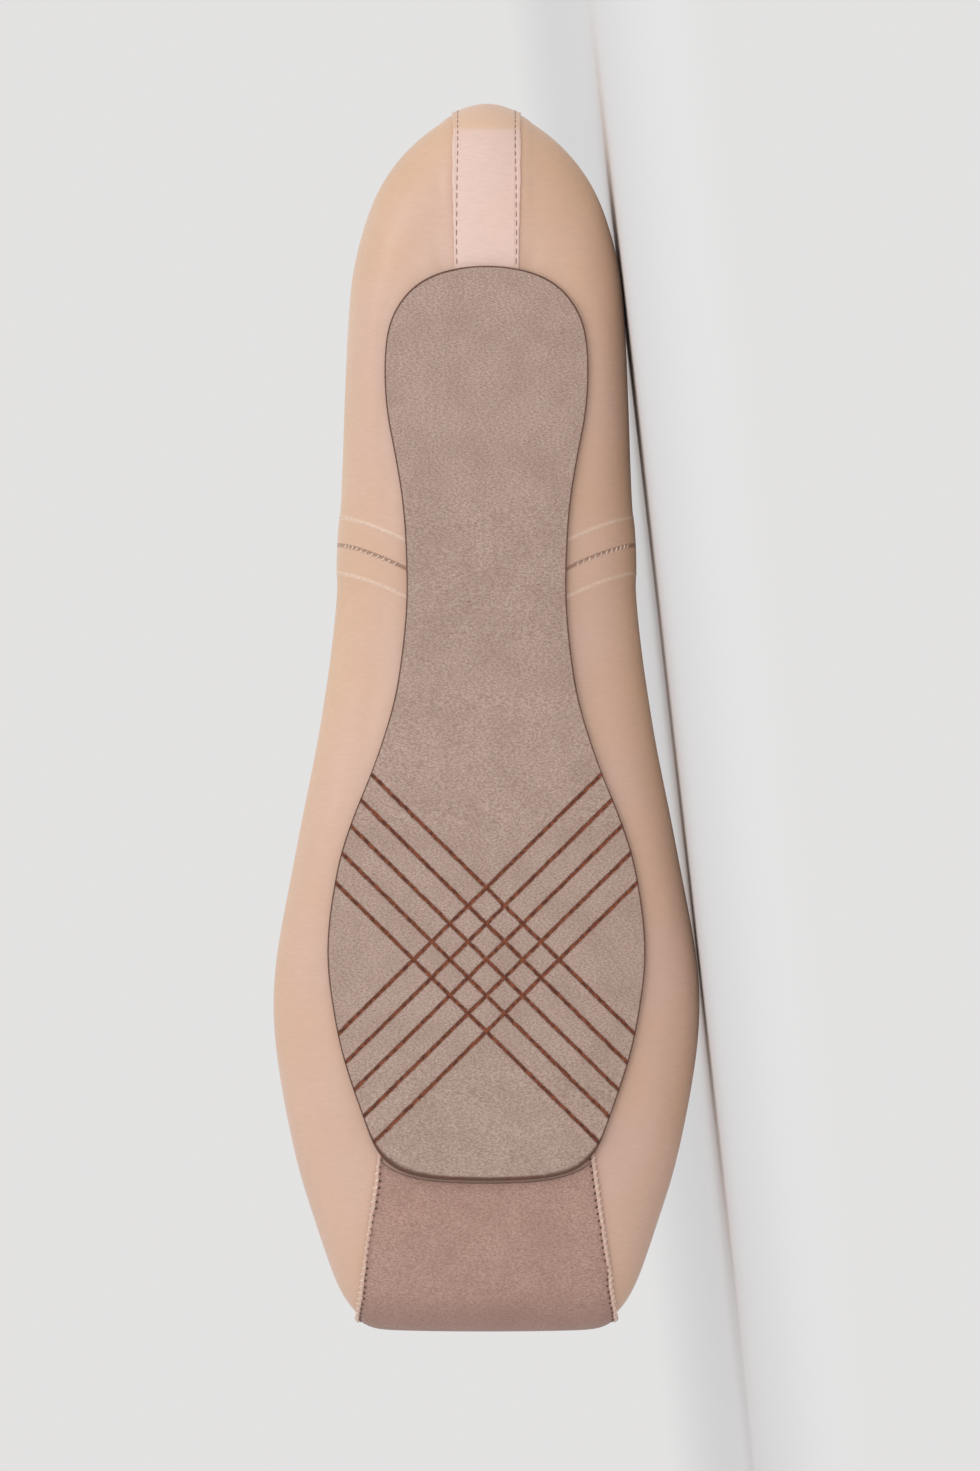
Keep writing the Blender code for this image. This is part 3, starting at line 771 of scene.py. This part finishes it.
def soleLayer(node, name, thickness, roundEdge):
    # The upper face of a sole layer, given its thickness downwards, and the outline that it had as a sheet
    piece = copyNode(node, name)
    keepFaces(piece, lambda centre, normal, shortest: normal.z > 0.9 and shortest > 1.0)
    applyModifier(piece, "SUBSURF", levels=2, boundary_smooth="ALL")
    outline = outlineOf(piece)
    applyModifier(piece, "SOLIDIFY", thickness=thickness / 1000, offset=-1.0)
    applyModifier(
        piece,
        "BEVEL",
        width=roundEdge / 1000,
        segments=3,
        limit_method="ANGLE",
        angle_limit=math.radians(50),
    )
    smooth(piece, 35)
    return piece, outline


def archAt(x):
    # The sole's lift off its flats at a place along the shoe
    share = x / soles["length"]
    start, end = soles["archSpan"]
    arch = (share - start) / (end - start)
    spring = (share - soles["springFrom"]) / (1 - soles["springFrom"])
    if 0 < arch < 1:
        return soles["archLift"] * math.sin(math.pi * arch) ** 2
    return soles["springLift"] * spring**2 if spring > 0 else 0.0


def outlineOf(piece):
    # The open edges of a flat sheet, seen along the shoe's up way
    sheet = bmesh.new()
    sheet.from_mesh(piece.data)
    edges = [[(toShoe @ vertex.co).xy for vertex in edge.verts] for edge in sheet.edges if edge.is_boundary]
    sheet.free()
    return edges


def makeOutsole():
    piece, outline = soleLayer("outsole", "outsoleSuede", soles["outsoleThickness"], soles["outsoleRound"])
    rise = piece.data.attributes.new("rise", "FLOAT", "POINT")
    fromEdge = piece.data.attributes.new("fromEdge", "FLOAT", "POINT")
    points = [toShoe @ vertex.co for vertex in piece.data.vertices]
    rise.data.foreach_set("value", [point.z - archAt(point.x) for point in points])
    gaps = [min(nearPath(point.xy, a, b)[0] for a, b in outline) for point in points]
    fromEdge.data.foreach_set("value", gaps)
    piece.data.materials.append(outsoleFinish())
    finishPiece(piece, nodes=["outsole"])


def makeInsole():
    piece = soleLayer("insole", "insoleCloth", soles["insoleThickness"], soles["insoleRound"])[0]
    piece.data.materials.append(liningFinish("insoleCotton", cotton["insole"]).material)
    finishPiece(piece, nodes=["insole"])


# The binding round the collar

binding = {
    "levels": 2,
    "rimMiddle": (92.0, 0.0),  # x and y of the middle of the collar
    "rimSpots": 120,
    "rimAbove": 25.0,
    "spine": (60.0, 140.0),  # the row is swung out from the line between these
    "swing": (100, -5, -5),  # degrees off straight down: from, to and step
    "nearEnough": 0.5,
}


def makeBinding():
    piece = copyNode("collar_binding", "collarBinding")
    applyModifier(piece, "SUBSURF", levels=binding["levels"])
    cloth = satinFinish("bindingSatin", satin["tape"], satin["bindingShade"])
    piece.data.materials.append(cloth.material)
    smooth(piece, 60)
    finishPiece(piece, nodes=["collar_binding"])
    return piece


# Stitching and welts: rows that run over the surface, by points in the shoe's frame. A stitch's three
# sizes are its length, width and height.

stitching = {
    "stripRowAt": 5.9,
    "stripPitch": 1.9,
    "stripStitch": (1.35, 0.2, 0.16),
    "rowDepth": 0.08,
    "seamRowAt": 5.6,
    "seamPitch": 1.75,
    "seamStitch": (1.6, 0.26, 0.2),
    "whipPitch": 1.3,
    "whipStitch": (1.1, 0.36, 0.3),
    "whipLean": 62,
    "overcastPitch": 1.4,
    "overcastStitch": (1.4, 0.42, 0.4),
    "overcastLean": -58,
    "overcastLift": 0.32,
    "holeSize": (0.66, 0.5, 0.2),
    "holeAside": 0.62,
    "bindingPitch": 2.1,
    "bindingRowAt": 6.0,
    "bindingStitch": (1.5, 0.28, 0.2),
    "welt": 0.42,
    "weltRunsOn": (0.8, 1.6, 2.4, 3.2),
    "castFrom": 6.0,  # how far out a row's points start on their way to the surface
    "nearFrom": 1.5,
    "easings": 3,
    # the strip's thread, darker than its own pink: painted shade of the groove that it is sunk in
    "dark": (150, 112, 98),
    # dark beads beside the overcast stitches: painted shadow in the needle holes
    "holeShadow": (104, 72, 58),
    "pale": (240, 216, 198),
    "rose": (194, 156, 144),
}

# One side of the toe patch, from under the outsole round the tip, and over to the middle of its top
patchEdge = (
    (211.6, 21.3, 3.3),
    (221.2, 22.7, 4.7),
    (227.0, 23.4, 6.0),
    (231.4, 24.1, 7.5),
    (235.5, 24.6, 9.2),
    (239.0, 25.1, 11.6),
    (241.0, 25.4, 13.7),
    (242.4, 25.6, 16.6),
    (242.7, 25.6, 19.5),
    (241.9, 25.4, 26.6),
    (239.6, 24.7, 31.7),
    (236.6, 23.8, 35.0),
    (235.4, 20.5, 36.4),
    (235.9, 12.0, 36.4),
    (236.4, 0.0, 36.4),
)

# The middle of the heel strip from the outsole up, as x and z
stripMiddle = (
    (32.6, 1.9),
    (27.0, 2.7),
    (20.0, 3.9),
    (9.3, 8.0),
    (3.4, 13.6),
    (0.2, 21.8),
    (-0.2, 29.0),
    (0.5, 37.4),
    (1.6, 44.5),
)

# The wall at the side seam from the outsole up, as y and z
seamWall = (
    (17.6, 3.3),
    (21.5, 4.6),
    (25.7, 6.9),
    (28.4, 11.0),
    (29.4, 16.4),
    (29.2, 23.4),
    (28.5, 29.7),
    (28.0, 32.5),
)


def curveThrough(points, step=0.4):
    # A smooth line through the points, in short even steps
    points = [Vector(point) for point in points]
    fine = []
    for i in range(len(points) - 1):
        a, b = points[i], points[i + 1]
        slopeA = (b - points[max(i - 1, 0)]) / 2
        slopeB = (points[min(i + 2, len(points) - 1)] - a) / 2
        steps = max(2, int((b - a).length / step))
        for j in range(steps):
            t = j / steps
            fine.append(
                a * (2 * t**3 - 3 * t**2 + 1)
                + slopeA * (t**3 - 2 * t**2 + t)
                + b * (3 * t**2 - 2 * t**3)
                + slopeB * (t**3 - t**2)
            )
    return fine + [points[-1]]


def onSurface(tree, points, cast=True):
    # Each point's place on the outermost surface over it, with the normal there, in the shoe's frame
    turn = toShoe.to_3x3()
    line = []
    for point in points:
        away = awayFromFoot(point)
        place = None
        if cast:
            start = toWorld @ (point + away * stitching["castFrom"])
            place, normal = tree.ray_cast(start, toWorld.to_3x3() @ -away)[:2]
        if place is None:
            place, normal = tree.find_nearest(toWorld @ (point + away * stitching["nearFrom"]))[:2]
        place = toShoe @ place
        normal = (turn @ normal).normalized()
        line.append((place, normal if outward(place, normal) > 0 else -normal))
    # Small steps in the surface are eased out of the line
    for _ in range(stitching["easings"]):
        eased = []
        for before, here, after in zip(line, line[1:], line[2:]):
            place = (before[0] + here[0] * 2 + after[0]) / 4
            eased.append((place, (before[1] + here[1] * 2 + after[1]).normalized()))
        line = [line[0]] + eased + [line[-1]]
    return line


def evenly(line, pitch, start=0.5):
    # Places a pitch apart along a line, each with its normal and the way that the line runs
    spots = []
    travelled, due = 0.0, pitch * start
    for (a, normalA), (b, normalB) in zip(line, line[1:]):
        length = (b - a).length
        while length > 1e-9 and travelled + length >= due:
            share = (due - travelled) / length
            spots.append((a.lerp(b, share), normalA.lerp(normalB, share).normalized(), (b - a).normalized()))
            due += pitch
        travelled += length
    return spots


def threadBead():
    # One stitch: a rounded dash, a millimetre long, wide and high
    bpy.ops.mesh.primitive_uv_sphere_add(segments=8, ring_count=6, radius=0.5)
    bead = bpy.context.object
    points = [vertex.co.copy() for vertex in bead.data.vertices]
    faces = [tuple(face.vertices) for face in bead.data.polygons]
    bpy.data.objects.remove(bead, do_unlink=True)
    return points, faces


def addStitches(name, spots, size, finish, lean=0.0, aside=0.0, sink=0.1):
    # lean is in degrees off the line, aside in mm to the left of it, and sink a share of the height
    points, faces = threadBead()
    length, width, height = size
    vertices, polygons = [], []
    for place, normal, way in spots:
        left = normal.cross(way).normalized()
        way = left.cross(normal)
        turn = math.radians(lean)
        along = way * math.cos(turn) + left * math.sin(turn)
        across = normal.cross(along)
        centre = place + left * aside + normal * (height * (0.5 - sink) * 0.5)
        start = len(vertices)
        for point in points:
            spot = centre + along * point.z * length + across * point.x * width + normal * point.y * height
            vertices.append(toWorld @ spot)
        polygons.extend(tuple(start + i for i in face) for face in faces)
    mesh = bpy.data.meshes.new(name)
    mesh.from_pydata(vertices, [], polygons)
    mesh.materials.append(finish)
    piece = bpy.data.objects.new(name, mesh)
    bpy.context.scene.collection.objects.link(piece)
    activate(piece)
    bpy.ops.object.mode_set(mode="EDIT")
    bpy.ops.mesh.select_all(action="SELECT")
    bpy.ops.mesh.normals_make_consistent(inside=False)
    bpy.ops.object.mode_set(mode="OBJECT")
    smooth(piece, 60)
    finishPiece(piece)


def addWelt(name, line, radius, finish, sink=0.35):
    # A thin roll of cloth along a line on the surface
    curve = bpy.data.curves.new(name, "CURVE")
    curve.dimensions = "3D"
    curve.bevel_depth = radius / 1000
    curve.bevel_resolution = 2
    curve.use_fill_caps = True
    spline = curve.splines.new("POLY")
    spline.points.add(len(line) - 1)
    for spot, (place, normal) in zip(spline.points, line):
        spot.co = (*(toWorld @ (place + normal * radius * (1 - 2 * sink))), 1)
    roll = bpy.data.objects.new(name, curve)
    bpy.context.scene.collection.objects.link(roll)
    activate(roll)
    bpy.ops.object.convert(target="MESH")
    roll = bpy.context.object
    roll.name = name
    roll.data.materials.clear()
    roll.data.materials.append(finish)
    bpy.ops.object.mode_set(mode="EDIT")
    bpy.ops.mesh.select_all(action="SELECT")
    bpy.ops.mesh.remove_doubles(threshold=1e-6)
    bpy.ops.mesh.normals_make_consistent(inside=False)
    bpy.ops.object.mode_set(mode="OBJECT")
    smooth(roll, 60)
    finishPiece(roll)


def stitchStrip(strip):
    tree = treeOf(strip)
    # The strip's thread is darkened as painted shade of its sunk stitches
    dark = threadFinish("stripThreadShaded", stitching["dark"])
    spots = []
    for side in (-1, 1):
        path = [(x, side * stitching["stripRowAt"], z) for x, z in stripMiddle]
        spots += evenly(onSurface(tree, curveThrough(path)), stitching["stripPitch"])
    addStitches("stripStitches", spots, stitching["stripStitch"], dark, sink=0.2)


def stitchSeams(upper):
    tree = treeOf(upper)
    pale = threadFinish("seamThread", stitching["pale"])
    rows, whips = [], []
    for side in (-1, 1):
        for shift in (-stitching["seamRowAt"], stitching["seamRowAt"]):
            path = [(seamLine(y, z) + shift, side * y, z) for y, z in seamWall]
            rows += evenly(onSurface(tree, curveThrough(path)), stitching["seamPitch"])
        # The seam itself is whipped along its lowest part only
        path = [(seamLine(y, z), side * y, z) for y, z in seamWall[:4]]
        whips += evenly(onSurface(tree, curveThrough(path)), stitching["whipPitch"])
    addStitches("seamStitches", rows, stitching["seamStitch"], pale)
    addStitches("seamWhipping", whips, stitching["whipStitch"], pale, lean=stitching["whipLean"])


def sewPatch(patch):
    tree = treeOf(patch)
    half = curveThrough(patchEdge)
    edge = half + [Vector((point.x, -point.y, point.z)) for point in half[-2::-1]]
    line = onSurface(tree, edge, cast=False)
    # Both ends run on under the outsole
    for end, inner in ((0, 5), (-1, -6)):
        way = (line[end][0] - line[inner][0]).normalized()
        under = [(line[end][0] + way * reach, line[end][1]) for reach in stitching["weltRunsOn"]]
        line = under[::-1] + line if end == 0 else line + under
    roll = satinFinish("weltSatin", satin["welt"], satin["pink"]).material
    addWelt("patchWelt", line, stitching["welt"], roll)
    spots = evenly(line, stitching["overcastPitch"])
    pale = threadFinish("overcastThread", stitching["pale"])
    holeShadows = threadFinish("overcastHoleShadows", stitching["holeShadow"])
    lift, lean = stitching["overcastLift"], stitching["overcastLean"]
    raised = [(place + normal * lift, normal, way) for place, normal, way in spots]
    addStitches("patchOvercast", raised, stitching["overcastStitch"], pale, lean=lean)
    # Painted shadow: a dark bead in each needle hole beside the overcast stitch
    aside = stitching["holeAside"]
    addStitches("patchHoleShadows", spots, stitching["holeSize"], holeShadows, lean=lean, aside=aside)


def rimOf(piece):
    # The top of the collar in even directions round its middle; across, the collar is about a third as wide
    middleX, middleY = binding["rimMiddle"]
    best = {}
    for vertex in piece.data.vertices:
        point = toShoe @ vertex.co
        way = Vector((point.x - middleX, (point.y - middleY) * 3))
        key = int((math.atan2(way.y, way.x) / (2 * math.pi)) % 1 * binding["rimSpots"])
        if point.z > binding["rimAbove"] and (key not in best or point.z > best[key].z):
            best[key] = point
    return [best[key] for key in sorted(best)]


def stitchBinding(piece):
    # Each place in the row lies a fixed reach from the rim, swung down from outside until it meets the
    # surface
    tree = treeOf(piece)
    reach = stitching["bindingRowAt"]
    back, fore = binding["spine"]
    row = []
    for point in rimOf(piece):
        out = Vector((point.x - min(max(point.x, back), fore), point.y, 0.0)).normalized()
        for degrees in range(*binding["swing"]):
            swing = math.radians(degrees)
            spot = point + (out * math.sin(swing) - Vector((0, 0, 1)) * math.cos(swing)) * reach
            place, _, _, gap = tree.find_nearest(toWorld @ spot)
            if gap * 1000 < binding["nearEnough"]:
                break
        row.append(toShoe @ place)
    smoothRow = []
    for i in range(len(row)):
        smoothRow.append((row[i - 1] + row[i] * 2 + row[(i + 1) % len(row)]) / 4)
    line = onSurface(tree, curveThrough(smoothRow + smoothRow[:1]))
    spots = evenly(line, stitching["bindingPitch"])
    rose = threadFinish("bindingThread", stitching["rose"])
    addStitches("bindingStitches", spots, stitching["bindingStitch"], rose)


addCamera()
addStudio()
print("camera, lights and floor")
upper = makeUpper()
print("upper")
strip = makeStrip(upper)
patch = makePatch(upper)
print("strip and patch")
makeOutsole()
makeInsole()
print("soles")
collar = makeBinding()
print("binding")
stitchStrip(strip)
stitchSeams(upper)
sewPatch(patch)
stitchBinding(collar)
print("stitching and welts")
